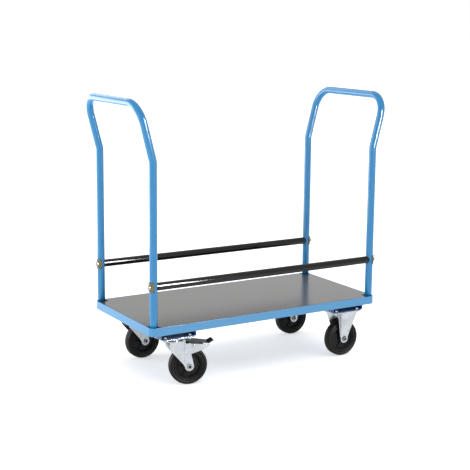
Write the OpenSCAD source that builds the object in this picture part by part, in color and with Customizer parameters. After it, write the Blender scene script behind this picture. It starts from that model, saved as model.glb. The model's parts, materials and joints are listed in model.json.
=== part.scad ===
// Flatbed platform truck: steel rim frame with an inset deck, two leaning
// push hoops, two side rails, two braked swivel casters and two fixed casters.
// Units are millimetres, +Z is up, the floor is z = 0 and the origin is under
// the middle of the deck. X runs along the deck, Y runs across it.

/* [Platform] */
// Outer length of the rim frame
platform_l = 870; // [700:5:1100]
// Outer width of the rim frame
platform_w = 420; // [350:5:600]
// Height of the rim wall
rim_h = 27; // [24:1:45]
// Sheet thickness of the rim angle
rim_t = 3; // [2:0.5:4]
// Width of the inward foot of the rim angle
rim_foot = 25; // [20:1:35]
// Outer radius of the rim corners
corner_r = 20; // [16:0.5:25]
// Thickness of the deck board
deck_t = 15; // [9:1:18]
// Gap between the deck board and the rim wall
deck_gap = 1; // [0.5:0.1:2]

/* [Hoops] */
// Outer diameter of the hoop tube
tube_d = 25; // [20:0.1:30]
// Wall thickness of the hoop and rail tubes
tube_wall = 1.5; // [1:0.1:2.5]
// Gap between the posts and the inside of the rim wall
post_gap = 2; // [0.5:0.1:4]
// Height of the kink above the deck
kink_h = 516; // [420:1:640]
// Height of the top bar axis above the deck
hoop_h = 691; // [600:1:850]
// Outward lean of the top bar from the post
hoop_lean = 46; // [20:1:90]
// Bend radius of the upper corners
bend_r = 68; // [45:1:90]
// Bend radius of the kink
kink_r = 50; // [35:1:80]

/* [Side rails] */
// Height of the rail axis above the deck
rail_h = 128; // [90:1:300]
// Outer diameter of the side rails
rail_d = 25; // [20:0.1:30]
// Distance from the post axis to the square rail end
rail_stop = 8; // [6:0.5:10]

/* [Casters] */
// Wheel diameter over the tyre
wheel_d = 125; // [100:1:160]
// Tyre width
wheel_w = 32; // [26:1:38]
// Distance from the swivel axis to the wheel axle
trail = 48; // [38:1:56]
// Distance from the platform ends to the caster centres
caster_end = 105; // [90:1:160]
// Distance from the long sides to the caster centres
caster_side = 54; // [50:1:90]
// Height of the cross channels
channel_h = 20; // [14:1:30]
// Width of the cross channels
channel_w = 125; // [118:1:150]
// Resting angle of the front left swivel caster
swivel_near = -13; // [-180:1:180]
// Resting angle of the rear left swivel caster
swivel_far = 4; // [-180:1:180]
// Diameter of the caster axles and fixing bolts
bolt_d = 8; // [6:0.1:10]
// Gap between the brake shoe and the tyre with the brake off
shoe_gap = 5.5; // [5.5:0.1:7]

/* [Hidden] */
$fn = 64;
caster_h = wheel_d + 38;
rim_z = caster_h + channel_h;
deck_z = rim_z + rim_h;
rail_z = deck_z + rail_h;
kink_z = deck_z + kink_h;
tube_r = tube_d / 2;
post_inset = rim_t + post_gap + tube_r;
post_x = platform_l / 2 - post_inset;
post_y = platform_w / 2 - post_inset;
bore_r = tube_r - tube_wall;
rise = hoop_h - kink_h;
lean_a = atan2(hoop_lean, rise);
lean_l = sqrt(hoop_lean * hoop_lean + rise * rise);
kink_t = kink_r * tan(lean_a / 2);
foot_z = rim_z + rim_t + 3;
plate_l = 112;
plate_w = 85;
plate_t = 3;
hole_x = 43;
hole_y = 30;
plate_z = caster_h - plate_t;
caster_x = platform_l / 2 - caster_end;
caster_y = platform_w / 2 - caster_side;
wheel_r = wheel_d / 2;
leg_t = 2.5;
leg_in = wheel_w / 2 + 3.5;
leg_out = leg_in + leg_t;
boss_r = 15;
crown_z = caster_h - 16;
crown_t = 3;
sleeve_r = bolt_d / 2 + 2;
hub_r = wheel_r - 19;
pin_x = trail + 14;
pin_z = wheel_d + 5;
hex_r = bolt_d * 0.94;
nut_gap = 0.74;
flare_x = hole_x - boss_r;
flare_y = hole_y - leg_out;
flare_d = sqrt(flare_x * flare_x + flare_y * flare_y);
flare_a = atan2(flare_y, flare_x) + asin((hex_r + leg_t + nut_gap) / flare_d);
flare_l = (plate_w / 2 - leg_out - 2) / sin(flare_a);
lever_in = leg_in - 0.5;
lever_x0 = 38;
lever_x1 = wheel_r + 53;
lever_z0 = crown_z - 1;
lever_z1 = wheel_d + 7;
lever_t = 3;
pad_l = 18;
pad_w = 24;
pad_tilt = 27;
cross_l = platform_w - 30;
bearer_h = rim_h - rim_t - deck_t;
bearer_x = caster_x / 3;
saddle_r = tube_r + 2.7;

// box centred in X and Y with rounded upright edges
module round_box(l, w, h, r) {
  translate([-l / 2 + r, -w / 2, 0]) cube([l - 2 * r, w, h]);
  translate([-l / 2, -w / 2 + r, 0]) cube([l, w - 2 * r, h]);
  for (i = [-1, 1]) {
    for (j = [-1, 1]) {
      translate([i * (l / 2 - r), j * (w / 2 - r), 0]) cylinder(r = r, h = h);
    }
  }
}

// rod along X from x0 to x1
module x_rod(x0, x1, r) {
  translate([x0, 0, 0]) rotate([0, 90, 0]) cylinder(r = r, h = x1 - x0);
}

// rod along Y from y0 to y1
module y_rod(y0, y1, r) {
  translate([0, y1, 0]) rotate([90, 0, 0]) cylinder(r = r, h = y1 - y0);
}

// outline drawn in X and Z, given thickness from y0 to y1
module side_sheet(y0, y1) {
  translate([0, y1, 0]) rotate([90, 0, 0]) linear_extrude(height = y1 - y0) children();
}

// the four posts, for anything set against them
module at_posts() {
  for (i = [-1, 1]) {
    for (j = [-1, 1]) {
      translate([i * post_x, j * post_y, 0]) rotate([0, 0, i > 0 ? 180 : 0]) children();
    }
  }
}

module at_casters() {
  for (i = [-1, 1]) {
    for (j = [-1, 1]) {
      translate([i * caster_x, j * caster_y, 0]) children();
    }
  }
}

module at_bolts() {
  for (i = [-1, 1]) {
    for (j = [-1, 1]) {
      translate([i * hole_x, j * hole_y, 0]) children();
    }
  }
}

// ---- platform ----

module rim_frame() {
  color("#5b9fd4") difference() {
    translate([0, 0, rim_z]) round_box(platform_l, platform_w, rim_h, corner_r);
    translate([0, 0, rim_z + rim_t])
      round_box(platform_l - 2 * rim_t, platform_w - 2 * rim_t, rim_h, corner_r - rim_t);
    translate([0, 0, rim_z - 1])
      round_box(platform_l - 2 * rim_foot, platform_w - 2 * rim_foot, rim_t + 2, 4);
  }
}

module deck_board() {
  notch = post_inset + tube_r + 5;
  inset = rim_t + deck_gap;
  color("#959593") difference() {
    translate([-platform_l / 2 + inset, -platform_w / 2 + inset, deck_z - deck_t])
      cube([platform_l - 2 * inset, platform_w - 2 * inset, deck_t]);
    for (i = [-1, 1]) {
      for (j = [-1, 1]) {
        translate([i * platform_l / 2, j * platform_w / 2, deck_z - deck_t / 2])
          cube([2 * notch, 2 * notch, deck_t + 2], center = true);
      }
    }
    for (i = [-3, -1, 1, 3]) {
      for (j = [-1, 1]) {
        translate([i * bearer_x, j * platform_w / 7, deck_z - deck_t - 1]) cylinder(r = 2, h = 11);
      }
    }
  }
}

module deck_bearers() {
  w = 30;
  l = platform_w - 2 * rim_t - 2;
  color("#5b9fd4") for (i = [-3, -1, 1, 3]) {
    translate([i * bearer_x, 0, rim_z + rim_t]) difference() {
      translate([-w / 2, -l / 2, 0]) cube([w, l, bearer_h]);
      translate([-w / 2 + 1.5, -l / 2 - 1, 1.5]) cube([w - 3, l + 2, bearer_h - 3]);
      for (j = [-1, 1]) {
        translate([0, j * platform_w / 7, -1]) cylinder(r = 2, h = bearer_h + 2);
      }
    }
  }
}

module deck_screws() {
  color("#c9ccd0") for (i = [-3, -1, 1, 3]) {
    for (j = [-1, 1]) {
      translate([i * bearer_x, j * platform_w / 7, rim_z + rim_t]) {
        cylinder(r = 2, h = bearer_h + 10);
        translate([0, 0, -2.5]) cylinder(r = 4.2, h = 2.5);
      }
    }
  }
}

module channel(side) {
  t = 3;
  color("#4a86c0") difference() {
    translate([side * caster_x - channel_w / 2, -cross_l / 2, caster_h]) difference() {
      cube([channel_w, cross_l, channel_h]);
      translate([t, -1, t]) cube([channel_w - 2 * t, cross_l + 2, channel_h]);
    }
    for (j = [-1, 1]) {
      translate([side * caster_x, j * caster_y, caster_h - 1]) at_bolts() cylinder(r = bolt_d / 2, h = t + 2);
    }
  }
}

module channel_left() {
  channel(-1);
}

module channel_right() {
  channel(1);
}

module corner_plates() {
  a = rim_t + 0.2;
  b = max(2 * corner_r, post_inset + tube_r) + 5;
  s = b - a;
  color("#5b9fd4") for (i = [-1, 1]) {
    for (j = [-1, 1]) {
      translate([i * (platform_l / 2 - a - s / 2), j * (platform_w / 2 - a - s / 2), rim_z + rim_t])
        round_box(s, s, 3, corner_r - rim_t);
    }
  }
}

// ---- hoops ----

// slim bead that joins a straight length to a bend
module bead(r) {
  translate([0, 0, -0.2]) cylinder(r = r + 0.04, h = 0.4);
}

// solid path of one hoop, used once for the outside and once for the bore
module hoop_path(side, r, z0) {
  for (j = [-1, 1]) {
    translate([0, j * post_y, z0]) cylinder(r = r, h = kink_z - kink_t - z0);
    translate([0, j * post_y, kink_z - kink_t]) bead(r);
    translate([side * kink_r, j * post_y, kink_z - kink_t]) rotate([90, 0, 0])
      rotate([0, 0, side > 0 ? 180 - lean_a : 0]) rotate_extrude(angle = lean_a)
      translate([kink_r, 0]) circle(r = r);
  }
  translate([0, 0, kink_z]) rotate([0, side * lean_a, 0]) {
    for (j = [-1, 1]) {
      translate([0, j * post_y, kink_t]) cylinder(r = r, h = lean_l - bend_r - kink_t);
      translate([0, j * post_y, kink_t]) bead(r);
      translate([0, j * post_y, lean_l - bend_r]) bead(r);
      translate([0, j * (post_y - bend_r), lean_l]) rotate([90, 0, 0]) bead(r);
      translate([0, j * (post_y - bend_r), lean_l - bend_r]) rotate([90, 0, 90])
        rotate([0, 0, j > 0 ? 0 : 90]) rotate_extrude(angle = 90) translate([bend_r, 0]) circle(r = r);
    }
    translate([0, 0, lean_l]) y_rod(-(post_y - bend_r), post_y - bend_r, r);
  }
}

module hoop(side) {
  color("#4a90cf") difference() {
    translate([side * post_x, 0, 0]) hoop_path(side, tube_r, foot_z);
    translate([side * post_x, 0, 0]) hoop_path(side, bore_r, foot_z - 1);
    for (j = [-1, 1]) {
      translate([side * post_x, j * post_y, rail_z]) x_rod(-tube_r - 1, tube_r + 1, bolt_d / 2);
    }
  }
}

module hoop_left() {
  hoop(-1);
}

module hoop_right() {
  hoop(1);
}

// ---- side rails ----

module rail(side) {
  l = post_x - rail_stop;
  color("#1c1c1e") difference() {
    translate([0, side * post_y, rail_z]) x_rod(-l, l, rail_d / 2);
    translate([0, side * post_y, rail_z]) x_rod(-l - 1, l + 1, rail_d / 2 - tube_wall);
    for (i = [-1, 1]) {
      translate([i * post_x, side * post_y, rail_z - 20]) cylinder(r = tube_r, h = 40);
    }
  }
}

module rail_near() {
  rail(-1);
}

module rail_far() {
  rail(1);
}

module rail_plugs() {
  color("#202022") at_posts() translate([0, 0, rail_z]) difference() {
    x_rod(rail_stop, 40, rail_d / 2 - tube_wall);
    x_rod(0, 18, bolt_d / 2);
    x_rod(18, 34, 6);
    translate([0, 0, -20]) cylinder(r = tube_r, h = 40);
  }
}

module rail_inserts() {
  color("#c9ccd0") at_posts() translate([0, 0, rail_z]) difference() {
    x_rod(18, 34, 6);
    x_rod(17, 30, bolt_d / 2);
  }
}

module rail_saddles() {
  color("#b9bcc0") at_posts() translate([0, 0, rail_z]) difference() {
    intersection() {
      translate([0, 0, -15.5]) cylinder(r = saddle_r, h = 31);
      x_rod(-saddle_r - 1, 0, 19);
      translate([-saddle_r - 1, -saddle_r - 1, -16]) cube([saddle_r - 1.6, 2 * saddle_r + 2, 32]);
    }
    translate([0, 0, -20]) cylinder(r = tube_r, h = 40);
    translate([-saddle_r - 2, -20, -20]) cube([3, 40, 40]);
    x_rod(-saddle_r - 1, 0, bolt_d / 2);
  }
}

module rail_bolts() {
  seat = -saddle_r + 1;
  cap = 8.5;
  dome = 8.81;
  color("#e2e4e6") at_posts() translate([0, 0, rail_z]) {
    x_rod(seat - 1.5, 30, bolt_d / 2);
    x_rod(seat - 1.5, seat, cap);
    intersection() {
      translate([seat - 1.5 - 6.5 + dome, 0, 0]) sphere(r = dome);
      x_rod(seat - 12, seat - 1.5, cap);
    }
  }
}

// ---- caster fixings ----

module caster_bolts() {
  color("#d5d8da") at_casters() at_bolts() translate([0, 0, caster_h]) {
    translate([0, 0, 3]) cylinder(r = hex_r, h = 5.3, $fn = 6);
    translate([0, 0, -11]) cylinder(r = bolt_d / 2, h = 14.5);
  }
}

module caster_nuts() {
  color("#d5d8da") at_casters() at_bolts() translate([0, 0, plate_z - 6.5]) difference() {
    cylinder(r = hex_r, h = 6.5, $fn = 6);
    translate([0, 0, -1]) cylinder(r = bolt_d / 2, h = 9);
  }
}

module top_plate(bore) {
  translate([0, 0, plate_z]) difference() {
    round_box(plate_l, plate_w, plate_t, 8);
    translate([0, 0, -1]) at_bolts() cylinder(r = bolt_d / 2, h = plate_t + 2);
    if (bore > 0) translate([0, 0, -1]) cylinder(r = bore, h = plate_t + 2);
  }
}

// ---- wheel ----

module hub() {
  difference() {
    union() {
      y_rod(-leg_in + 1, leg_in - 1, 16);
      y_rod(-5, 5, hub_r - 3);
      difference() {
        y_rod(-wheel_w / 2 + 3, wheel_w / 2 - 3, hub_r);
        y_rod(-wheel_w / 2, wheel_w / 2, hub_r - 6);
      }
      for (a = [0:60:300]) {
        rotate([0, a, 0]) translate([10, -wheel_w / 2 + 7, -2]) cube([hub_r - 14, wheel_w - 14, 4]);
      }
    }
    y_rod(-wheel_w, wheel_w, sleeve_r + 0.1);
  }
}

module tyre() {
  e = 7;
  rotate([90, 0, 0]) rotate_extrude() difference() {
    union() {
      translate([hub_r, -wheel_w / 2]) square([wheel_r - hub_r - e, wheel_w]);
      translate([hub_r, -wheel_w / 2 + e]) square([wheel_r - hub_r, wheel_w - 2 * e]);
      for (j = [-1, 1]) {
        translate([wheel_r - e, j * (wheel_w / 2 - e)]) circle(r = e);
      }
    }
    for (j = [-1, 1]) {
      translate([hub_r + 6.5, j * (wheel_w / 2 + 1.2)]) circle(r = 2.4);
    }
  }
}

module axle_bolt() {
  y_rod(-leg_out - 1, leg_out + 7.5, bolt_d / 2);
  translate([0, -leg_out, 0]) rotate([90, 0, 0]) cylinder(r = hex_r, h = 5.3, $fn = 6);
}

module axle_nut() {
  translate([0, leg_out + 6.5, 0]) rotate([90, 0, 0]) difference() {
    cylinder(r = hex_r, h = 6.5, $fn = 6);
    translate([0, 0, -1]) cylinder(r = bolt_d / 2, h = 9);
  }
}

module sleeve() {
  difference() {
    y_rod(-leg_in, leg_in, sleeve_r);
    y_rod(-leg_in - 1, leg_in + 1, bolt_d / 2);
  }
}

// ---- swivel caster, local X points along the trail ----

module at_near() {
  translate([-caster_x, -caster_y, 0]) rotate([0, 0, swivel_near]) children();
}

module at_far() {
  translate([-caster_x, caster_y, 0]) rotate([0, 0, swivel_far]) children();
}

module leg_outline() {
  bx = trail - boss_r;
  polygon([[28, crown_z + 1], [33, crown_z + 1], [36, wheel_d + 14], [wheel_r + 52, wheel_d + 5], [wheel_r + 54, wheel_d + 1],
    [wheel_r + 30, wheel_d - 11], [trail + 6, wheel_d - 22], [trail + boss_r, wheel_r],
    [bx, wheel_r], [28, wheel_r + 8]]);
  translate([trail, wheel_r]) circle(r = boss_r);
}

module wing_outline() {
  polygon([[0.3, crown_z + 1], [-46, crown_z + 1], [-46, crown_z - 24], [0.3, wheel_r + 8]]);
}

module leg(side) {
  y0 = side > 0 ? leg_in : -leg_out;
  difference() {
    side_sheet(y0, y0 + leg_t) leg_outline();
    translate([trail, 0, wheel_r]) y_rod(-leg_out - 1, leg_out + 1, bolt_d / 2);
    translate([pin_x, 0, pin_z]) y_rod(-leg_out - 1, leg_out + 1, 3);
  }
  translate([28, side * leg_out, 0]) rotate([0, 0, side * -8])
    side_sheet(side > 0 ? -leg_t : 0, side > 0 ? 0 : leg_t) wing_outline();
}

module fork() {
  color("#e6e8e8") {
    leg(-1);
    leg(1);
    difference() {
      union() {
        translate([0, 0, crown_z]) cylinder(r = 34, h = crown_t);
        translate([0, -leg_out, crown_z]) cube([36, 2 * leg_out, crown_t]);
      }
      translate([0, 0, crown_z - 1]) cylinder(r = 6.3, h = crown_t + 2);
    }
  }
}

module race_cup() {
  z0 = crown_z + crown_t + 3;
  color("#dfe2e2") difference() {
    translate([0, 0, z0]) cylinder(r = 31, h = plate_z - z0);
    translate([0, 0, z0 - 1]) cylinder(r = 28.6, h = 4.5);
    translate([0, 0, z0 - 1]) cylinder(r = 6, h = plate_z - z0 + 2);
  }
}

module ball_cage() {
  z = crown_z + crown_t;
  color("#8d9093") {
    translate([0, 0, z]) difference() {
      cylinder(r = 26.5, h = 2.6);
      translate([0, 0, -1]) cylinder(r = 18.5, h = 5);
    }
    for (a = [0:24:336]) {
      rotate([0, 0, a]) translate([22.5, 0, z + 3.1]) sphere(r = 3, $fn = 32);
    }
  }
}

module king_bolt() {
  color("#c4c7ca") {
    translate([0, 0, crown_z - 8]) cylinder(r = 6, h = caster_h - crown_z + 7.5);
    translate([0, 0, crown_z - 8.5]) cylinder(r = 10.5, h = 8.2, $fn = 6);
  }
}

module brake_pin() {
  color("#c4c7ca") translate([pin_x, 0, pin_z]) {
    y_rod(-leg_out - 2, leg_out + 2, 3);
    y_rod(-leg_out - 3, -leg_out, 4.5);
    y_rod(leg_out, leg_out + 3, 4.5);
  }
}

// height of the underside of the foot lever at x
function lever_z(x) = lever_z0 + (x - lever_x0) * (lever_z1 - lever_z0) / (lever_x1 - lever_x0);

// side view of the lever plate, or of all that lies above its underside
module lever_outline(t) {
  polygon([[lever_x0, lever_z0], [lever_x1, lever_z1], [lever_x1, lever_z1 + t], [lever_x0, lever_z0 + t]]);
}

// the foot lever rides on the brake pin between the fork legs
module lever() {
  w = lever_in;
  x2 = pin_x + 26;
  color("#2a2a2c") difference() {
    union() {
      side_sheet(-w, w) lever_outline(lever_t);
      for (j = [-1, 1]) {
        side_sheet(j > 0 ? w - 2.4 : -w, j > 0 ? w : -w + 2.4)
          polygon([[lever_x0 + 4, lever_z(lever_x0 + 4) + 1], [x2, lever_z(x2) + 1],
            [pin_x + 8, pin_z - 6], [pin_x - 8, pin_z - 6]]);
      }
    }
    translate([pin_x, 0, pin_z]) y_rod(-w - 1, w + 1, 3.1);
  }
}

module shoe() {
  x0 = wheel_r + 14;
  x1 = wheel_r + 32;
  color("#3a3a3c") difference() {
    side_sheet(-12, 12) polygon([[x0, wheel_d - 14], [x1, wheel_d - 14], [x1, lever_z(x1)], [x0, lever_z(x0)]]);
    translate([trail, 0, wheel_r]) y_rod(-20, 20, wheel_r + shoe_gap);
  }
}

module pad() {
  x0 = lever_x1 - 2;
  z0 = lever_z1 + 1.5;
  groove = 1.6;
  color("#161617") difference() {
    translate([x0, 0, z0]) rotate([0, -pad_tilt, 0]) difference() {
      translate([0, -pad_w / 2, -3.5]) cube([pad_l, pad_w, 8]);
      for (i = [0:3]) {
        translate([2.4 + i * pad_l / 4.5, -pad_w / 2 - 1, 3.5]) cube([groove, pad_w + 2, 2]);
      }
    }
    side_sheet(-40, 40) lever_outline(lever_t);
  }
}

// ---- fixed caster ----

// flat upright strip down the middle of a bracket leg, round at the axle
module strip_outline() {
  translate([-boss_r, wheel_r]) square([2 * boss_r, plate_z - wheel_r + 1]);
  translate([0, wheel_r]) circle(r = boss_r);
}

// three-cornered wing that widens the leg towards the plate
module flare_outline() {
  polygon([[-1.4, wheel_r + 8], [0.2, wheel_r + 8], [flare_l, plate_z + 1], [-1.4, plate_z + 1]]);
}

module bracket_leg(side) {
  y0 = side > 0 ? leg_in : -leg_out;
  side_sheet(y0, y0 + leg_t) strip_outline();
  for (k = [-1, 1]) {
    translate([k * boss_r, side * leg_out, 0]) rotate([0, 0, side * k * flare_a]) mirror([k < 0 ? 1 : 0, 0, 0])
      side_sheet(side > 0 ? -leg_t : 0, side > 0 ? 0 : leg_t) flare_outline();
  }
}

module bracket() {
  color("#e6e8e8") difference() {
    union() {
      bracket_leg(-1);
      bracket_leg(1);
      top_plate(0);
    }
    translate([0, 0, wheel_r]) y_rod(-60, 60, bolt_d / 2);
  }
}

module at_fixed_near() {
  translate([caster_x, -caster_y, 0]) children();
}

module at_fixed_far() {
  translate([caster_x, caster_y, 0]) children();
}

// ---- the named pieces of the four casters ----

module nl_plate() {
  color("#e6e8e8") translate([-caster_x, -caster_y, 0]) top_plate(6);
}

module nl_race_cup() {
  at_near() race_cup();
}

module nl_king_bolt() {
  at_near() king_bolt();
}

module nl_fork() {
  at_near() fork();
}

module nl_ball_cage() {
  at_near() ball_cage();
}

module nl_axle_bolt() {
  color("#c4c7ca") at_near() translate([trail, 0, wheel_r]) axle_bolt();
}

module nl_axle_nut() {
  color("#c4c7ca") at_near() translate([trail, 0, wheel_r]) axle_nut();
}

module nl_sleeve() {
  color("#c4c7ca") at_near() translate([trail, 0, wheel_r]) sleeve();
}

module nl_brake_pin() {
  at_near() brake_pin();
}

module nl_hub() {
  color("#2b2b2b") at_near() translate([trail, 0, wheel_r]) hub();
}

module nl_tyre() {
  color("#232323") at_near() translate([trail, 0, wheel_r]) tyre();
}

module nl_lever() {
  at_near() lever();
}

module nl_shoe() {
  at_near() shoe();
}

module nl_pad() {
  at_near() pad();
}

module fl_plate() {
  color("#e6e8e8") translate([-caster_x, caster_y, 0]) top_plate(6);
}

module fl_race_cup() {
  at_far() race_cup();
}

module fl_king_bolt() {
  at_far() king_bolt();
}

module fl_fork() {
  at_far() fork();
}

module fl_ball_cage() {
  at_far() ball_cage();
}

module fl_axle_bolt() {
  color("#c4c7ca") at_far() translate([trail, 0, wheel_r]) axle_bolt();
}

module fl_axle_nut() {
  color("#c4c7ca") at_far() translate([trail, 0, wheel_r]) axle_nut();
}

module fl_sleeve() {
  color("#c4c7ca") at_far() translate([trail, 0, wheel_r]) sleeve();
}

module fl_brake_pin() {
  at_far() brake_pin();
}

module fl_hub() {
  color("#2b2b2b") at_far() translate([trail, 0, wheel_r]) hub();
}

module fl_tyre() {
  color("#232323") at_far() translate([trail, 0, wheel_r]) tyre();
}

module fl_lever() {
  at_far() lever();
}

module fl_shoe() {
  at_far() shoe();
}

module fl_pad() {
  at_far() pad();
}

module nr_bracket() {
  at_fixed_near() bracket();
}

module nr_axle_bolt() {
  color("#c4c7ca") at_fixed_near() translate([0, 0, wheel_r]) axle_bolt();
}

module nr_axle_nut() {
  color("#c4c7ca") at_fixed_near() translate([0, 0, wheel_r]) axle_nut();
}

module nr_sleeve() {
  color("#c4c7ca") at_fixed_near() translate([0, 0, wheel_r]) sleeve();
}

module nr_hub() {
  color("#2b2b2b") at_fixed_near() translate([0, 0, wheel_r]) hub();
}

module nr_tyre() {
  color("#232323") at_fixed_near() translate([0, 0, wheel_r]) tyre();
}

module fr_bracket() {
  at_fixed_far() bracket();
}

module fr_axle_bolt() {
  color("#c4c7ca") at_fixed_far() translate([0, 0, wheel_r]) axle_bolt();
}

module fr_axle_nut() {
  color("#c4c7ca") at_fixed_far() translate([0, 0, wheel_r]) axle_nut();
}

module fr_sleeve() {
  color("#c4c7ca") at_fixed_far() translate([0, 0, wheel_r]) sleeve();
}

module fr_hub() {
  color("#2b2b2b") at_fixed_far() translate([0, 0, wheel_r]) hub();
}

module fr_tyre() {
  color("#232323") at_fixed_far() translate([0, 0, wheel_r]) tyre();
}

rim_frame();
deck_board();
deck_bearers();
deck_screws();
channel_left();
channel_right();
corner_plates();
hoop_left();
hoop_right();
rail_near();
rail_far();
rail_plugs();
rail_inserts();
rail_saddles();
rail_bolts();
caster_bolts();
caster_nuts();
nl_plate();
nl_race_cup();
nl_king_bolt();
nl_fork();
nl_ball_cage();
nl_axle_bolt();
nl_axle_nut();
nl_sleeve();
nl_brake_pin();
nl_hub();
nl_tyre();
nl_lever();
nl_shoe();
nl_pad();
fl_plate();
fl_race_cup();
fl_king_bolt();
fl_fork();
fl_ball_cage();
fl_axle_bolt();
fl_axle_nut();
fl_sleeve();
fl_brake_pin();
fl_hub();
fl_tyre();
fl_lever();
fl_shoe();
fl_pad();
nr_bracket();
nr_axle_bolt();
nr_axle_nut();
nr_sleeve();
nr_hub();
nr_tyre();
fr_bracket();
fr_axle_bolt();
fr_axle_nut();
fr_sleeve();
fr_hub();
fr_tyre();
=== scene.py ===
import json
import math

import bmesh
import bpy
from mathutils import Matrix, Vector

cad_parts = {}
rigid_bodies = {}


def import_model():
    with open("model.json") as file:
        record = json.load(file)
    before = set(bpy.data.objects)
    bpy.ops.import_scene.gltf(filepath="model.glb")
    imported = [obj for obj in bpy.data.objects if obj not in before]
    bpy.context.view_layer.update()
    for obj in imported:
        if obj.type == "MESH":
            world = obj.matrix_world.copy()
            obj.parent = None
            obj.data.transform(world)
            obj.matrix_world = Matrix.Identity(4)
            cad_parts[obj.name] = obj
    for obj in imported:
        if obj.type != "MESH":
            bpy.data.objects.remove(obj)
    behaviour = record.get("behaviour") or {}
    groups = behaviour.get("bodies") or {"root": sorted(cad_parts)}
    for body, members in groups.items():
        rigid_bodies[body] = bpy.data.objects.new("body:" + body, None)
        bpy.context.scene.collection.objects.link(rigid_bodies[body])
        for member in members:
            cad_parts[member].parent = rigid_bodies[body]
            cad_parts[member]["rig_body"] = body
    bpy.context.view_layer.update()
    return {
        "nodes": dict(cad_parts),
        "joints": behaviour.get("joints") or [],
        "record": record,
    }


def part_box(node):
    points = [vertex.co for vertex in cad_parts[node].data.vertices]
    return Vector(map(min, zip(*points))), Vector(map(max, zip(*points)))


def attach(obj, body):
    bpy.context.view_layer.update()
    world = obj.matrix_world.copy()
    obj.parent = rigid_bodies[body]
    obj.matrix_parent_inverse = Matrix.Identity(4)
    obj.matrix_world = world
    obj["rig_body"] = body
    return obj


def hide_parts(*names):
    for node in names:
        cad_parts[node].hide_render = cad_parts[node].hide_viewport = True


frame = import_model()
nodes = frame["nodes"]
mm = 0.001
print("frame loaded:", len(nodes), "nodes")

# camera, floor and light

cameraValues = {
    "place": (-1.9571, -3.2200, 1.1625),  # metres from the middle of the deck, at floor level
    "turn": (79.655, -0.733, -32.245),  # degrees, looking slightly down along the deck
    "lens": 86.583, "sensor": 36, "farEnd": 100,
    "shift": (-0.0505, -0.0274),
}

lightValues = {
    "room": 0.26,  # brightness of the pale room on matt surfaces
    "backdrop": 1.0,  # brightness of the same room behind the object and in its gloss
    "overhead": (1.95, 75, (0.1, -0.2, 1.0)),  # strength, softness in degrees, where it stands
    # name, place, what it points at, size across, size up, watts, whether it lights matt surfaces too;
    # a panel that doesn't is only a reflection in tube and sheet
    "softboxes": [
        ("keyLeft", (-3.0, -0.9, 1.5), (-0.2, 0.0, 0.45), 1.4, 1.4, 9, True),
        ("backLeft", (-3.4, 2.2, 1.3), (-0.2, 0.0, 0.5), 2.4, 2.0, 52, True),
        ("leftWall", (-1.5, 1.7, 0.62), (-0.4, 0.0, 0.5), 2.0, 1.24, 30, False),
        ("backTop", (-0.4, 3.0, 2.6), (-0.3, 0.0, 0.9), 2.0, 1.4, 15, False),
        ("frontRight", (0.54, -1.9, 1.15), (-0.1, 0.0, 0.34), 0.32, 1.1, 120, False),
    ],
}

# a sweep lit a little from below
floorValues = {"size": 60.0, "colour": "#fafafa", "roughness": 0.8, "glow": 0.56}


def linear(hexColour):  # an sRGB hex value as linear light
    parts = [int(hexColour[i:i + 2], 16) / 255 for i in (1, 3, 5)]
    return tuple(c / 12.92 if c <= 0.04045 else ((c + 0.055) / 1.055) ** 2.4 for c in parts) + (1.0,)


def addNode(tree, kind, settings=None, values=None, links=None):
    made = tree.nodes.new(kind)
    for name, value in (settings or {}).items():
        setattr(made, name, value)
    for name, value in (values or {}).items():
        made.inputs[name].default_value = value
    for name, source in (links or {}).items():
        tree.links.new(source, made.inputs[name])
    return made


def placeCamera(values):
    lens = bpy.data.cameras.new("camera")
    lens.lens = values["lens"]
    lens.sensor_width = values["sensor"]
    lens.shift_x, lens.shift_y = values["shift"]
    lens.clip_end = values["farEnd"]
    camera = bpy.data.objects.new("camera", lens)
    camera.location = values["place"]
    camera.rotation_euler = [math.radians(a) for a in values["turn"]]
    bpy.context.scene.collection.objects.link(camera)
    bpy.context.scene.camera = camera


def lightStudio(values):
    world = bpy.data.worlds.new("paleRoom")
    world.use_nodes = True
    tree = world.node_tree
    path = addNode(tree, "ShaderNodeLightPath")
    seen = addNode(tree, "ShaderNodeMath", {"operation": "MAXIMUM"},
                   links={0: path.outputs["Is Camera Ray"], 1: path.outputs["Is Glossy Ray"]})
    glow = addNode(tree, "ShaderNodeMapRange",
                   values={"To Min": values["room"], "To Max": values["backdrop"]},
                   links={"Value": seen.outputs["Value"]})
    tree.nodes["Background"].inputs["Color"].default_value = (1, 1, 1, 1)
    tree.links.new(glow.outputs["Result"], tree.nodes["Background"].inputs["Strength"])
    bpy.context.scene.world = world

    strength, softness, place = values["overhead"]
    lamp = bpy.data.lights.new("overhead", "SUN")
    lamp.energy = strength
    lamp.angle = math.radians(softness)
    box = bpy.data.objects.new("overhead", lamp)
    box.rotation_euler = Vector(place).to_track_quat("Z", "Y").to_euler()
    box.visible_glossy = False  # a wide even glow with no reflection of its own
    bpy.context.scene.collection.objects.link(box)

    for name, place, target, across, up, watts, onMatt in values["softboxes"]:
        lamp = bpy.data.lights.new(name, "AREA")
        lamp.shape = "RECTANGLE"
        lamp.size = across
        lamp.size_y = up
        lamp.energy = watts
        box = bpy.data.objects.new(name, lamp)
        box.location = place
        box.rotation_euler = (Vector(target) - Vector(place)).to_track_quat("-Z", "Y").to_euler()
        box.visible_diffuse = onMatt
        box.visible_camera = False
        bpy.context.scene.collection.objects.link(box)
    bpy.context.scene.view_settings.view_transform = "Standard"


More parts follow.
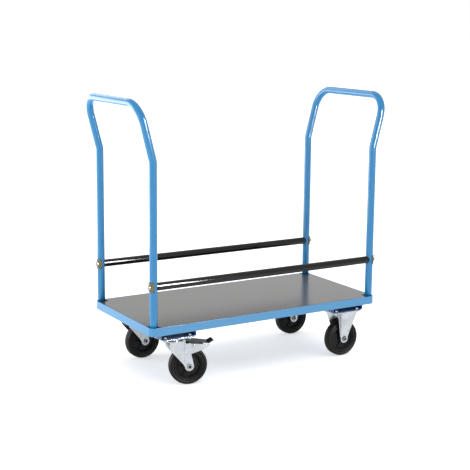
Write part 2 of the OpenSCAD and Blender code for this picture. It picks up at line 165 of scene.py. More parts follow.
def layFloor(values):
    bm = bmesh.new()
    bmesh.ops.create_grid(bm, x_segments=1, y_segments=1, size=values["size"] / 2)
    mesh = bpy.data.meshes.new("floor")
    bm.to_mesh(mesh)
    bm.free()
    floor = bpy.data.objects.new("floor", mesh)
    bpy.context.scene.collection.objects.link(floor)
    paper = bpy.data.materials.new("paleFloor")
    paper.use_nodes = True
    shader = paper.node_tree.nodes["Principled BSDF"]
    shader.inputs["Base Color"].default_value = linear(values["colour"])
    shader.inputs["Roughness"].default_value = values["roughness"]
    shader.inputs["Emission Color"].default_value = (1, 1, 1, 1)
    shader.inputs["Emission Strength"].default_value = values["glow"]
    mesh.materials.append(paper)


placeCamera(cameraValues)
lightStudio(lightValues)
layFloor(floorValues)
print("camera, floor and light placed")

# materials


def startMaterial(name, roughness, ior=1.5, metallic=0.0, shine=0.5):
    # roughness is its lowest and highest; a low shine stands for moulding grain too fine to draw
    material = bpy.data.materials.new(name)
    material.use_nodes = True
    tree = material.node_tree
    shader = tree.nodes["Principled BSDF"]
    shader.inputs["Roughness"].default_value = sum(roughness) / 2
    shader.inputs["IOR"].default_value = ior
    shader.inputs["Metallic"].default_value = metallic
    shader.inputs["Specular IOR Level"].default_value = shine
    place = addNode(tree, "ShaderNodeTexCoord").outputs["Object"]
    return material, tree, shader, place


def toneAndGrain(name, tones, roughness, patch, grain, depth, **more):
    # clouds of two tones, patch mm across, over a grain of hollows grain mm across and depth mm deep
    material, tree, shader, place = startMaterial(name, roughness, **more)
    clouds = addNode(tree, "ShaderNodeTexNoise",
                     values={"Scale": 1 / (patch * mm), "Detail": 3.0, "Roughness": 0.55},
                     links={"Vector": place})
    mix = addNode(tree, "ShaderNodeMix", {"data_type": "RGBA"}, links={"Factor": clouds.outputs["Fac"]})
    mix.inputs[6].default_value = linear(tones[0])  # inputs 6 and 7 are its two colours
    mix.inputs[7].default_value = linear(tones[1])
    tree.links.new(mix.outputs[2], shader.inputs["Base Color"])
    pits = addNode(tree, "ShaderNodeTexNoise", values={"Scale": 1 / (grain * mm), "Detail": 2.0},
                   links={"Vector": place})
    bump = addNode(tree, "ShaderNodeBump", values={"Strength": 1.0, "Distance": depth * mm},
                   links={"Height": pits.outputs["Fac"]})
    tree.links.new(bump.outputs["Normal"], shader.inputs["Normal"])
    spread = addNode(tree, "ShaderNodeMapRange",
                     values={"To Min": roughness[0], "To Max": roughness[1]},
                     links={"Value": clouds.outputs["Fac"]})
    tree.links.new(spread.outputs["Result"], shader.inputs["Roughness"])
    return material


# polyester powder coat, sprayed and baked: a thick skin with a faint orange peel, glossier on tube
powderCoatFrame = toneAndGrain("powderCoatFrame", ("#4791c4", "#4b95c8"), (0.30, 0.36), 140, 2.6, 0.012)
powderCoatHoop = toneAndGrain("powderCoatHoop", ("#2382bc", "#2786c0"), (0.12, 0.17), 140, 2.6, 0.006)
# the same coat on the channels, darkened to navy as painted shade: the shadow that the platform casts on them
# is put into their colour
paintedShadeCoat = toneAndGrain("paintedShadeCoat", ("#1c4a80", "#205089"), (0.36, 0.46), 110, 2.6, 0.014)
# phenolic film pressed on plywood: an even warm grey with a dull shine
phenolicFilm = toneAndGrain("phenolicFilm", ("#504f4d", "#565452"), (0.17, 0.23), 90, 1.2, 0.003)
# gloss enamel on steel tube: deep black with narrow bright reflections
glossEnamel = toneAndGrain("glossEnamel", ("#08080b", "#0c0c0f"), (0.07, 0.10), 120, 6.0, 0.002, shine=0.3)
# bright zinc plate on pressed sheet: silvery, with large pale and dark clouds that are partly the passivation
# bath's mottling and partly painted reflection, standing for the darker bands the pressing reflects
zincSheet = toneAndGrain("zincSheet", ("#92979c", "#bfc3c7"), (0.20, 0.32), 24, 2.2, 0.006, metallic=1.0)
# bright zinc plate on turned fixings: smoother and shinier than the sheet
zincFixing = toneAndGrain("zincFixing", ("#989ca0", "#b2b4b3"), (0.18, 0.3), 9, 0.5, 0.006, metallic=1.0)
# zinc plate passivated yellow: the same sheet with an olive cast
yellowZinc = toneAndGrain("yellowZinc", ("#4c4a38", "#78755f"), (0.16, 0.28), 14, 1.6, 0.006, metallic=1.0)
# hardened steel, oiled: darker and slick
bearingSteel = toneAndGrain("bearingSteel", ("#8f9296", "#a0a2a4"), (0.14, 0.26), 6, 0.6, 0.004,
                            metallic=1.0)
# steel at the bottom of a socket, nearly black and dull: painted shade for the dark inside the recess
paintedSocketShade = toneAndGrain("paintedSocketShade", ("#18181a", "#26262a"), (0.42, 0.6), 4, 0.8, 0.01, metallic=1.0)
# black elastic rubber, moulded: deep black with a soft sheen
mouldedRubber = toneAndGrain("mouldedRubber", ("#090909", "#0e0e0e"), (0.5, 0.64), 22, 0.8, 0.03, shine=0.16)
# polypropylene, injection moulded: black with a fine eroded grain
polypropylene = toneAndGrain("polypropylene", ("#0e0e0f", "#131314"), (0.38, 0.48), 30, 0.7, 0.02,
                             ior=1.49, shine=0.16)
# black electrocoat on pressed steel: thin and even, with a satin shine
electrocoat = toneAndGrain("electrocoat", ("#121214", "#19191b"), (0.26, 0.36), 24, 1.1, 0.012)

sealedEdge = {
    "sealer": ("#1d1712", "#33291f"), "roughness": 0.7,
    "layer": 2.8 * mm, "waver": 0.4,  # two veneers' thickness, how unevenly they run
    "steps": (0.45, 0.55),  # where one veneer's tone changes to the next
    "fibre": 0.9 * mm, "depth": 0.05 * mm,
}


def layeredEdge(name, values):  # cut plywood under dark edge sealer: the veneers still show as fine lines
    material, tree, shader, place = startMaterial(name, (values["roughness"], values["roughness"]))
    waveScale = 0.314  # a wave texture repeats every 0.314 units at a scale of one
    layers = addNode(tree, "ShaderNodeTexWave", {"bands_direction": "Z", "wave_profile": "SAW"},
                     {"Scale": 1 / values["layer"] * waveScale, "Distortion": values["waver"], "Detail": 1.0},
                     {"Vector": place})
    ramp = addNode(tree, "ShaderNodeValToRGB", links={"Fac": layers.outputs["Fac"]})
    for element, position, tone in zip(ramp.color_ramp.elements, values["steps"], values["sealer"]):
        element.position = position
        element.color = linear(tone)
    tree.links.new(ramp.outputs["Color"], shader.inputs["Base Color"])
    fibres = addNode(tree, "ShaderNodeTexNoise", values={"Scale": 1 / values["fibre"], "Detail": 2.0},
                     links={"Vector": place})
    bump = addNode(tree, "ShaderNodeBump", values={"Distance": values["depth"]},
                   links={"Height": fibres.outputs["Fac"]})
    tree.links.new(bump.outputs["Normal"], shader.inputs["Normal"])
    return material


plyEdge = layeredEdge("plyEdge", sealedEdge)

finishes = {
    "frame_paint": powderCoatFrame, "hoop_paint": powderCoatHoop, "deck_board": phenolicFilm,
    "rail_black": glossEnamel, "black_plastic": polypropylene, "tyre_rubber": mouldedRubber,
    "hub_plastic": polypropylene, "pad_rubber": mouldedRubber, "lever_black": electrocoat,
    "zinc_sheet": zincSheet, "bearing_steel": bearingSteel, "zinc_fixing": zincFixing,
}
slotOf = {part["node"]: part["material_slot"] for part in frame["record"]["subparts"]}
print("materials mixed:", len(finishes))

for name, cadNode in nodes.items():
    cadNode.data.materials.clear()
    cadNode.data.materials.append(finishes[slotOf[name]])

# helpers for making pieces

bodyOf = {name: cadNode["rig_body"] for name, cadNode in nodes.items()}
weldGap = 0.002 * mm  # points closer than this are one point


def pointsOf(geometry):
    return [g for g in geometry if isinstance(g, bmesh.types.BMVert)]


def edgesOf(geometry):
    return [g for g in geometry if isinstance(g, bmesh.types.BMEdge)]


def unique(things):  # each of them once, in the order met
    return list(dict.fromkeys(things))


def finishPiece(bm, name, standsFor, material=None, body=None, slotName=None, creaseAngle=38,
                bevel=0.0, wall=0.0):
    # turns the bmesh into a piece that rides on its body and stands for its CAD nodes
    bmesh.ops.remove_doubles(bm, verts=bm.verts, dist=weldGap)
    bmesh.ops.recalc_face_normals(bm, faces=bm.faces)
    mesh = bpy.data.meshes.new(name)
    bm.to_mesh(mesh)
    bm.free()
    mesh.shade_smooth()
    mesh.set_sharp_from_angle(angle=math.radians(creaseAngle))
    piece = bpy.data.objects.new(name, mesh)
    bpy.context.scene.collection.objects.link(piece)
    slotName = slotName or slotOf[standsFor[0]]
    mesh.materials.append(material or finishes[slotName])
    if wall:
        thick = piece.modifiers.new("wall", "SOLIDIFY")
        thick.thickness = wall
        thick.offset = -1
    if bevel:
        edge = piece.modifiers.new("edges", "BEVEL")
        edge.width = bevel
        edge.segments = 2
        edge.limit_method = "ANGLE"
        edge.angle_limit = math.radians(creaseAngle)
        edge.harden_normals = True
    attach(piece, body or bodyOf[standsFor[0]])
    if standsFor:
        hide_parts(*standsFor)
    return piece


def roundedCopy(node, name, edge, material=None):
    # the CAD node's own shape, with its flat faces whole again and its edges rounded
    bm = bmesh.new()
    bm.from_mesh(nodes[node].data)
    bmesh.ops.remove_doubles(bm, verts=bm.verts, dist=weldGap)
    bmesh.ops.dissolve_limit(bm, angle_limit=math.radians(0.4), verts=bm.verts, edges=bm.edges)
    return finishPiece(bm, name, [node], material=material, bevel=edge)


def pushRing(bm, edges, step):  # carries a ring of edges along a straight length
    made = bmesh.ops.extrude_edge_only(bm, edges=edges)["geom"]
    bmesh.ops.translate(bm, verts=pointsOf(made), vec=step)
    return edgesOf(made)


def turnRing(bm, edges, centre, axis, angle, steps):  # carries a ring of edges round a bend
    corners = unique(v for e in edges for v in e.verts)
    made = bmesh.ops.spin(bm, geom=corners + edges, cent=centre, axis=axis, angle=angle, steps=steps,
                          use_duplicate=False)["geom_last"]
    return edgesOf(made)


def lathe(bm, profile, steps, place=Matrix(), closed=False):
    # spins (radius, height) points round Z, then puts the result in place
    corners = [bm.verts.new((r, 0, z)) for r, z in profile]
    edges = [bm.edges.new(pair) for pair in zip(corners, corners[1:])]
    if closed:
        edges.append(bm.edges.new((corners[-1], corners[0])))
    before = set(bm.verts) - set(corners)
    bmesh.ops.spin(bm, geom=corners + edges, cent=(0, 0, 0), axis=(0, 0, 1), angle=2 * math.pi,
                   steps=steps, use_merge=True, use_duplicate=False)
    fresh = [v for v in bm.verts if v not in before]
    bmesh.ops.remove_doubles(bm, verts=fresh, dist=weldGap / 2)
    fresh = [v for v in bm.verts if v not in before]
    bmesh.ops.transform(bm, matrix=place, verts=fresh)


def slab(bm, size, place, rounding=0.0):  # a block with softened edges
    made = bmesh.ops.create_cube(bm, size=1.0)["verts"]
    bmesh.ops.scale(bm, vec=size, verts=made)
    if rounding:
        edges = unique(e for v in made for e in v.link_edges)
        made = bmesh.ops.bevel(bm, geom=edges, offset=rounding, offset_type="OFFSET", affect="EDGES",
                               segments=2, profile=0.5, material=-1)["verts"]
    bmesh.ops.transform(bm, matrix=place, verts=made)


def arc(centre, radius, start, end, steps):  # points along part of a circle, angles in degrees
    angles = [math.radians(start + (end - start) * i / steps) for i in range(steps + 1)]
    return [(centre[0] + radius * math.cos(a), centre[1] + radius * math.sin(a)) for a in angles]


def shifted(points, r, z):  # a list of points in mm, moved to stand from radius r and height z
    return [(r + dr * mm, z + dz * mm) for dr, dz in points]


def bothSides(top):  # a profile's upper half, followed by the same below
    return top + [(r, -z) for r, z in reversed(top)]


def ridge(bm, start, end, outward, width, proud, section, place=Matrix()):
    # a low rounded bead; section says where its points stand, from -1 to 1 across it
    sunk = 0.1 * mm  # it starts this far inside the surface
    before = set(bm.verts)
    across = (end - start).normalized().cross(outward)
    outline = [start + across * (width / 2 * u) + outward * (proud * (1 - u * u) - sunk) for u in section]
    face = bm.faces.new([bm.verts.new(p) for p in outline])
    made = bmesh.ops.extrude_face_region(bm, geom=[face])["geom"]
    bmesh.ops.translate(bm, verts=pointsOf(made), vec=end - start)
    bmesh.ops.transform(bm, matrix=place, verts=[v for v in bm.verts if v not in before])


# hoops

hoop = {
    "tube": 25 * mm, "wall": 1.5 * mm,
    "kinkHeight": 726 * mm, "kinkRadius": 50 * mm,  # height of the kink's corner, its bend
    "bendRadius": 68 * mm,
    "sides": 56, "kinkSteps": 8, "bendSteps": 26,
    "postRings": (0.12, 0.38, 0.5),  # shares of the post between its rings, so no face grows too long
}


def bendHoop(values, node, name):
    low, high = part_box(node)
    r = values["tube"] / 2
    side = 1 if low.x > 0 else -1
    postX = (low.x + r) if side > 0 else (high.x - r)
    leanX = (high.x - r) if side > 0 else (low.x + r)
    postY, topZ, kinkZ = high.y - r, high.z - r, values["kinkHeight"]
    lean = math.atan2(leanX - postX, topZ - kinkZ)
    slope = Vector((math.sin(lean), 0, math.cos(lean)))
    slopeLength = (topZ - kinkZ) / math.cos(lean)
    cut = values["kinkRadius"] * math.tan(abs(lean) / 2)

    bm = bmesh.new()
    bmesh.ops.create_circle(bm, cap_ends=False, segments=values["sides"], radius=r)
    bmesh.ops.translate(bm, verts=bm.verts, vec=(postX, postY, low.z))
    ring = list(bm.edges)
    for share in values["postRings"]:
        ring = pushRing(bm, ring, (0, 0, (kinkZ - cut - low.z) * share))
    centre = (postX + side * values["kinkRadius"], postY, kinkZ - cut)
    ring = turnRing(bm, ring, centre, (0, 1, 0), lean, values["kinkSteps"])
    ring = pushRing(bm, ring, slope * (slopeLength - cut - values["bendRadius"]))
    corner = Vector((postX, postY - values["bendRadius"], kinkZ))
    corner += slope * (slopeLength - values["bendRadius"])
    ring = turnRing(bm, ring, corner, slope.cross((0, -1, 0)), math.pi / 2, values["bendSteps"])
    pushRing(bm, ring, (0, values["bendRadius"] - postY, 0))
    bmesh.ops.mirror(bm, geom=bm.verts[:] + bm.edges[:] + bm.faces[:], axis="Y", merge_dist=0.01 * mm)
    finishPiece(bm, name, [node], wall=values["wall"])
    return [(postX, y) for y in (-postY, postY)]


postSpots = bendHoop(hoop, "hoop_left", "leftHoop") + bendHoop(hoop, "hoop_right", "rightHoop")
postAcross = max(x for x, y in postSpots)  # how far a post stands from the middle of the deck
print("hoops bent")

# side rails

rail = {"tube": 25 * mm, "wall": 1.5 * mm, "sides": 64}


def copeRail(values, node, name):  # a tube whose ends are cut to the round of the posts
    low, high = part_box(node)
    centre = (low + high) / 2
    bm = bmesh.new()
    ends = []
    for r in (values["tube"] / 2, values["tube"] / 2 - values["wall"]):
        made = bmesh.ops.create_circle(bm, cap_ends=False, segments=values["sides"], radius=r)["verts"]
        bmesh.ops.rotate(bm, cent=(0, 0, 0), matrix=Matrix.Rotation(math.pi / 2, 3, "Y"), verts=made)
        bmesh.ops.translate(bm, verts=made, vec=(low.x, centre.y, centre.z))
        ring = unique(e for v in made for e in v.link_edges)
        last = pushRing(bm, ring, (high.x - low.x, 0, 0))
        far = unique(v for e in last for v in e.verts)
        for v, side in [(v, -1) for v in made] + [(v, 1) for v in far]:
            across = v.co.y - centre.y
            reach = math.sqrt(max(0.0, (hoop["tube"] / 2) ** 2 - across ** 2))
            v.co.x = side * min(high.x, postAcross - reach)
        ends.append((ring, last))
    for near, far in zip(*ends):
        bmesh.ops.bridge_loops(bm, edges=near + far)
    finishPiece(bm, name, [node], creaseAngle=50)


copeRail(rail, "rail_near", "nearRail")
copeRail(rail, "rail_far", "farRail")
print("rails coped")

# platform

platform = {
    "rimEdge": 0.7 * mm, "plateEdge": 0.5 * mm, "boardEdge": 0.4 * mm,  # how far each edge is rounded
    "seamWidth": 5 * mm, "seamProud": 0.5 * mm, "seamInset": 0.4 * mm,
    "seamSection": (-1, -0.6, -0.25, 0.25, 0.6, 1),
    "channelBend": 5 * mm, "channelWall": 3 * mm, "bendSteps": 6,
    "weldLeg": 3.2 * mm, "weldBite": 0.2 * mm,  # the fillet's size, how far it reaches into the post
    "weldRipples": 26, "rippleHeight": 0.25 * mm, "weldSteps": 72,
}


def makePlatform(values):
    roundedCopy("rim_frame", "rimFrame", values["rimEdge"])
    low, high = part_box("rim_frame")
    inset = values["seamInset"]
    bm = bmesh.new()
    ridge(bm, Vector((low.x, 0, low.z + inset)), Vector((low.x, 0, high.z - inset)), Vector((-1, 0, 0)),
          values["seamWidth"], values["seamProud"], values["seamSection"])  # a butt weld, ground down
    finishPiece(bm, "rimSeam", [], body="platform", slotName="frame_paint")
    roundedCopy("corner_plates", "cornerPlates", values["plateEdge"])
    roundedCopy("deck_bearers", "deckBearers", values["boardEdge"])
    board = roundedCopy("deck_board", "deckBoard", values["boardEdge"])
    board.data.materials.append(plyEdge)
    for face in board.data.polygons:
        if abs(face.normal.z) < 0.5:  # the upright sides
            face.material_index = 1


def foldChannel(values, node, name):  # a cold-folded channel with round outer bends
    low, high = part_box(node)
    bm = bmesh.new()
    outline = [(low.x, high.z), (low.x, low.z), (high.x, low.z), (high.x, high.z)]
    corners = [bm.verts.new((x, low.y, z)) for x, z in outline]
    for pair in zip(corners, corners[1:]):
        bm.edges.new(pair)
    bmesh.ops.bevel(bm, geom=corners[1:3], offset=values["channelBend"], offset_type="OFFSET",
                    affect="VERTICES", segments=values["bendSteps"], profile=0.5, material=-1)
    made = bmesh.ops.extrude_edge_only(bm, edges=bm.edges[:])["geom"]
    bmesh.ops.translate(bm, verts=pointsOf(made), vec=(0, high.y - low.y, 0))
    bmesh.ops.recalc_face_normals(bm, faces=bm.faces)
    middle = Vector(((low.x + high.x) / 2, 0, high.z))
    if sum((f.calc_center_median() - middle).dot(f.normal) * f.calc_area() for f in bm.faces) < 0:
        bmesh.ops.reverse_faces(bm, faces=bm.faces)  # so that the sheet thickens inwards
    bmesh.ops.solidify(bm, geom=bm.faces[:], thickness=values["channelWall"])
    # the channel takes the navy coat, whose darkness is painted shade
    finishPiece(bm, name, [node], material=paintedShadeCoat, bevel=values["plateEdge"])


def weldFeet(values):  # a rippled fillet round each post where it stands on its corner plate
    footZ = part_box("hoop_left")[0].z
    leg = values["weldLeg"]
    r = hoop["tube"] / 2 - values["weldBite"]
    bm = bmesh.new()
    for x, y in postSpots:
        lathe(bm, [(r, leg)] + arc((r + leg, leg), leg, 180, 270, 4) + [(r, 0)], values["weldSteps"],
              Matrix.Translation((x, y, footZ)), closed=True)
    for v in bm.verts:
        x, y = min(postSpots, key=lambda spot: (v.co.x - spot[0]) ** 2 + (v.co.y - spot[1]) ** 2)
        turn = math.atan2(v.co.y - y, v.co.x - x)
        if v.co.z > footZ + 0.1 * leg:  # its underside stays flat
            v.co.z += values["rippleHeight"] * math.sin(values["weldRipples"] * turn)
    finishPiece(bm, "postWelds", [], body="platform", slotName="frame_paint")


makePlatform(platform)
foldChannel(platform, "channel_left", "leftChannel")
foldChannel(platform, "channel_right", "rightChannel")
weldFeet(platform)
print("platform made")

# nuts, bolts and screws

fixing = {
    "bolt": 4 * mm, "hex": 7.52 * mm,  # thread radius, radius over the corners of the hex
    "headHeight": 5.3 * mm, "nutHeight": 6.5 * mm, "chamfer": 0.7 * mm,
    "pitch": 1.25 * mm, "root": 0.88, "tip": 0.7 * mm,  # root is its share of the thread's radius
    "crestEnd": 0.35, "rootAt": 0.7,  # shares of one turn of the thread
    "spread": (43 * mm, 30 * mm), "turn": 37,  # a plate bolt from its plate's middle, degrees between heads
    "steps": 24,
}


def hexBlock(bm, radius, height, place, chamfer, both=True, dish=0.0, dishDepth=0.0):
    # a hexagon chamfered on top or at both ends, with a socket that leaves a lip of dish
    known = set(bm.verts)
    made = bmesh.ops.create_circle(bm, cap_ends=True, segments=6, radius=radius)["verts"]
    base = unique(f for v in made for f in v.link_faces)
    top = pointsOf(bmesh.ops.extrude_face_region(bm, geom=base)["geom"])
    bmesh.ops.translate(bm, verts=top, vec=(0, 0, height))
    ends = top + (made if both else [])
    level = 0.0001 * mm
    rims = [e for e in unique(e for v in ends for e in v.link_edges)
            if abs(e.verts[0].co.z - e.verts[1].co.z) < level]
    result = bmesh.ops.bevel(bm, geom=rims, offset=chamfer, offset_type="OFFSET", affect="EDGES",
                             segments=1, profile=0.5, material=-1)["verts"]
    fresh = unique([v for v in made + top if v.is_valid] + list(result))
    if dish:
        crown = max(unique(f for v in fresh for f in v.link_faces),
                    key=lambda f: f.calc_center_median().z)
        bmesh.ops.inset_individual(bm, faces=[crown], thickness=dish)
        sunk = bmesh.ops.extrude_face_region(bm, geom=[crown])["geom"]
        bmesh.ops.delete(bm, geom=[crown], context="FACES_ONLY")
        bmesh.ops.translate(bm, verts=pointsOf(sunk), vec=(0, 0, -dishDepth))
        # the recess's walls and floor take the piece's second material, a painted shade
        for face in sunk:
            if isinstance(face, bmesh.types.BMFace):
                face.material_index = 1
        fresh = [v for v in bm.verts if v not in known]
    bmesh.ops.transform(bm, matrix=place, verts=fresh)


def thread(values, start, end):  # the outline of a threaded shank with a chamfered tip at its end
    radius, pitch, tip = values["bolt"], values["pitch"], values["tip"]
    way = 1 if end > start else -1
    points = [(0, start), (radius, start)]
    for i in range(int(abs(end - start) / pitch)):
        points.append((radius, start + way * (i + values["crestEnd"]) * pitch))
        points.append((radius * values["root"], start + way * (i + values["rootAt"]) * pitch))
    return points + [(radius, end - way * tip), (radius - tip, end), (0, end)]


def fitPlateBolts(values):
    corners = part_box("nl_plate")
    boltX, boltY = values["spread"]
    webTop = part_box("channel_left")[0].z + platform["channelWall"]
    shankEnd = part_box("caster_bolts")[0].z
    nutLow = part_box("caster_nuts")[0].z
    middle = (corners[0] + corners[1]) / 2
    bolts, nuts = bmesh.new(), bmesh.new()
    spots = [(sx * abs(middle.x) + i * boltX, sy * abs(middle.y) + j * boltY)
             for sx in (-1, 1) for sy in (-1, 1) for i in (-1, 1) for j in (-1, 1)]
    for n, (x, y) in enumerate(spots):
        turned = Matrix.Rotation(math.radians(values["turn"] * n % 60), 4, "Z")
        hexBlock(bolts, values["hex"], values["headHeight"], Matrix.Translation((x, y, webTop)) @ turned,
                 values["chamfer"], both=False)
        lathe(bolts, thread(values, webTop, shankEnd), values["steps"], Matrix.Translation((x, y, 0)))
        hexBlock(nuts, values["hex"], values["nutHeight"], Matrix.Translation((x, y, nutLow)) @ turned,
                 values["chamfer"])
    finishPiece(bolts, "plateBolts", ["caster_bolts"], creaseAngle=25)
    finishPiece(nuts, "plateNuts", ["caster_nuts"], creaseAngle=25)


domedBolt = {
    "capHeight": 6.5 * mm, "capRadius": 8.5 * mm, "domeSteps": 8,
    "flange": 1.5 * mm, "flangeProud": 0.4 * mm, "flangeEdge": 0.3 * mm,
    "shankEnd": 30 * mm,  # how far inside the post's middle the shank ends
    "saddleEdge": 0.9 * mm, "steps": 40,
}


def fitRailBolts(values):
    low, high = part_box("rail_bolts")
    railZ = (low.z + high.z) / 2
    cap, capHeight, shank = values["capRadius"], values["capHeight"], fixing["bolt"]
    domeRadius = (cap ** 2 + capHeight ** 2) / (2 * capHeight)
    seat = high.x - postAcross - capHeight
    under, rim = seat - values["flange"], cap + values["flangeProud"]
    rise = math.degrees(math.asin(cap / domeRadius))
    dome = [(r, z + seat - domeRadius + capHeight)
            for r, z in arc((0, 0), domeRadius, 90 - rise, 90, values["domeSteps"])]
    stem = [(0, -values["shankEnd"]), (shank, -values["shankEnd"]), (shank, under)]
    flange = [(rim, under), (rim, seat - values["flangeEdge"]), (cap, seat)]
    bm = bmesh.new()
    for x, y in postSpots:
        side = 1 if x > 0 else -1
        place = Matrix.Translation((x, y, railZ)) @ Matrix.Rotation(side * math.pi / 2, 4, "Y")
        lathe(bm, stem + flange + dome, values["steps"], place)
    finishPiece(bm, "railBolts", ["rail_bolts"], creaseAngle=40)
    roundedCopy("rail_saddles", "railSaddles", values["saddleEdge"], material=yellowZinc)


panScrew = {
    "shank": 2 * mm, "head": 4.2 * mm, "headHeight": 2.5 * mm, "point": 2 * mm, "pointTip": 0.4,
    # the head from its rim inwards and down into the recess: mm from the middle, mm above its face
    "face": [(4.2, 1.2), (3.7, 0.4), (2.6, 0), (1.3, 0), (1.2, 1.6), (0, 1.6)],
    "steps": 24,
}


def fitDeckScrews(values):  # pan heads with a round recess, driven up through the bearers
    low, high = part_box("deck_screws")
    shank, head = values["shank"], values["head"]
    under = low.z + values["headHeight"]
    outline = [(0, high.z), (shank * values["pointTip"], high.z), (shank, high.z - values["point"])]
    outline += [(shank, under), (head, under)] + shifted(values["face"], 0, low.z)
    y = high.y - head
    bm = bmesh.new()
    for x in [i * (high.x - head) / 3 for i in (-3, -1, 1, 3)]:
        for way in (-1, 1):
            lathe(bm, outline, values["steps"], Matrix.Translation((x, way * y, 0)))
    finishPiece(bm, "deckScrews", ["deck_screws"], creaseAngle=30)


fitPlateBolts(fixing)
fitRailBolts(domedBolt)
fitDeckScrews(panScrew)
print("fixings fitted")

# casters

joints = {j["name"]: j for j in frame["joints"]}
legOut = 22 * mm  # from the middle of the wheel to the outer face of a fork's or bracket's leg


def casterPlace(code):  # where a caster stands, turned so that its own X runs along the trail
    axle = Vector(joints[code + "_spin"]["pos_m"])
    swivel = joints.get(code + "_swivel")
    top = Vector(swivel["pos_m"]) if swivel else axle
    trail = (axle - top).to_2d()
    turn = math.atan2(trail.y, trail.x) if swivel else 0.0
    standing = Matrix.Translation((top.x, top.y, 0)) @ Matrix.Rotation(turn, 4, "Z")
    acrossAxle = standing @ Matrix.Translation((trail.length, 0, axle.z))
    return standing, acrossAxle @ Matrix.Rotation(-math.pi / 2, 4, "X")


wheel = {
    "radius": 62.5 * mm, "rimRadius": 43.5 * mm, "half": 16 * mm, "shoulder": 7 * mm,
    "steps": 96, "shoulderSteps": 7,
    # outlines in mm: how far outside the radius named first, then how far above the face named second
    "mouldLine": [(0, 0.25), (-0.35, 0.6)],  # the tread's radius, the wheel's middle
    "treadDrop": 0.5 * mm, "treadEnd": 1 * mm,
    "groove": 6.5 * mm,  # from the rim out to the middle of the ring pressed into the tyre's side
    "side": [(3.4, 0), (2.6, -0.7), (2.2, -0.8), (1.6, -1.9), (0, -2.4), (-1.6, -1.9), (-2.4, -0.5), (-3, 0)],
    "rimSeat": [(1.4, 0), (0.3, -0.8), (0, -2)],  # the rim's radius, the tyre's side
    "hubInset": 3 * mm, "boss": 16 * mm, "bossHalf": 18.5 * mm, "bore": 6.1 * mm,
    "flange": [(0, -1), (-0.8, 0), (-3.2, 0), (-4, -0.8)],  # the rim's radius, the hub's face
    "web": [(-6.4, 7), (-8, 5.2)],  # the rim's radius, the wheel's middle
    "bossSide": [(3, 5), (1, 6.2), (0, 15), (-1, 16), (-3.4, 16.2), (-4, 17)],  # the boss, the middle
    "bossTop": -4.8, "boreLip": [(1.2, 0), (0, -1)],
    "ribs": 6, "ribFrom": 1 * mm, "ribTo": 5.2 * mm,  # how far they reach into boss and rim
    "ribThick": 3.2 * mm, "ribWidth": 18 * mm, "ribEdge": 0.8 * mm,
}


def turnTyre(values, code, acrossAxle):
    r, half, e = values["radius"], values["half"], values["shoulder"]
    drop = values["treadDrop"]
    top = shifted(values["mouldLine"], r, 0) + [(r - drop, half - e - values["treadEnd"])]
    top += arc((r - e - drop, half - e), e, 12, 90, values["shoulderSteps"])
    top += shifted(values["side"], values["rimRadius"] + values["groove"], half)
    top += shifted(values["rimSeat"], values["rimRadius"], half)
    bm = bmesh.new()
    lathe(bm, bothSides(top), values["steps"], acrossAxle, closed=True)
    finishPiece(bm, code + "Tyre", [code + "_tyre"], creaseAngle=45)


def mouldHub(values, code, acrossAxle):
    rim, boss, bossHalf = values["rimRadius"], values["boss"], values["bossHalf"]
    top = shifted(values["flange"], rim, values["half"] - values["hubInset"])
    top += shifted(values["web"], rim, 0) + shifted(values["bossSide"], boss, 0)
    top += shifted([(values["bossTop"], 0)], boss, bossHalf)
    top += shifted(values["boreLip"], values["bore"], bossHalf)
    bm = bmesh.new()
    lathe(bm, bothSides(top), values["steps"], acrossAxle, closed=True)
    inner, outer = boss - values["ribFrom"], rim - values["ribTo"]
    for i in range(values["ribs"]):
        turned = acrossAxle @ Matrix.Rotation(2 * math.pi * i / values["ribs"], 4, "Z")
        slab(bm, (outer - inner, values["ribThick"], values["ribWidth"]),
             turned @ Matrix.Translation(((inner + outer) / 2, 0, 0)), values["ribEdge"])
    finishPiece(bm, code + "Hub", [code + "_hub"], creaseAngle=35)


axle = {
    "washer": 9.2 * mm, "washerThick": 0.8 * mm, "washerSteps": 36,
    "dish": 1.3 * mm, "dishDepth": 2.915 * mm, "headTurn": 0.3,  # socket's lip, its depth, radians
    "boltEnd": 29.5 * mm, "nutShort": 1.6 * mm,
    # the nylon ring's rolled collar: mm from the middle, mm above the nut's end
    "collarFoot": -2.4, "collar": [(6.2, -2.4), (6.2, -0.8), (5.5, 0)], "collarLip": [(0.4, 0), (0, -0.5)],
    "collarSteps": 32,
}


def fitAxle(values, code, acrossAxle):
    thick, r = values["washerThick"], values["washer"]
    washer = [(0, 0), (r, 0), (r, thick), (0, thick)]
    bolt, nut = bmesh.new(), bmesh.new()
    head = acrossAxle @ Matrix.Rotation(math.pi, 4, "X") @ Matrix.Translation((0, 0, legOut))
    hexBlock(bolt, fixing["hex"], fixing["headHeight"], head @ Matrix.Rotation(values["headTurn"], 4, "Z"),
             fixing["chamfer"], both=False, dish=values["dish"], dishDepth=values["dishDepth"])
    lathe(bolt, washer, values["washerSteps"], head)
    lathe(bolt, thread(fixing, -legOut, values["boltEnd"]), fixing["steps"], acrossAxle)
    seat = acrossAxle @ Matrix.Translation((0, 0, legOut))
    hexBlock(nut, fixing["hex"], fixing["nutHeight"] - values["nutShort"], seat, fixing["chamfer"],
             both=False)
    lathe(nut, washer, values["washerSteps"], seat)
    collar = shifted([(0, values["collarFoot"])], fixing["bolt"], fixing["nutHeight"])
    collar += shifted(values["collar"], 0, fixing["nutHeight"])
    collar += shifted(values["collarLip"], fixing["bolt"], fixing["nutHeight"])
    lathe(nut, collar, values["collarSteps"], seat, closed=True)
    piece = finishPiece(bolt, code + "AxleBolt", [code + "_axle_bolt"], creaseAngle=25)
    # the socket's second material is painted shade, nearly black
    piece.data.materials.append(paintedSocketShade)
    finishPiece(nut, code + "AxleNut", [code + "_axle_nut"], creaseAngle=25)


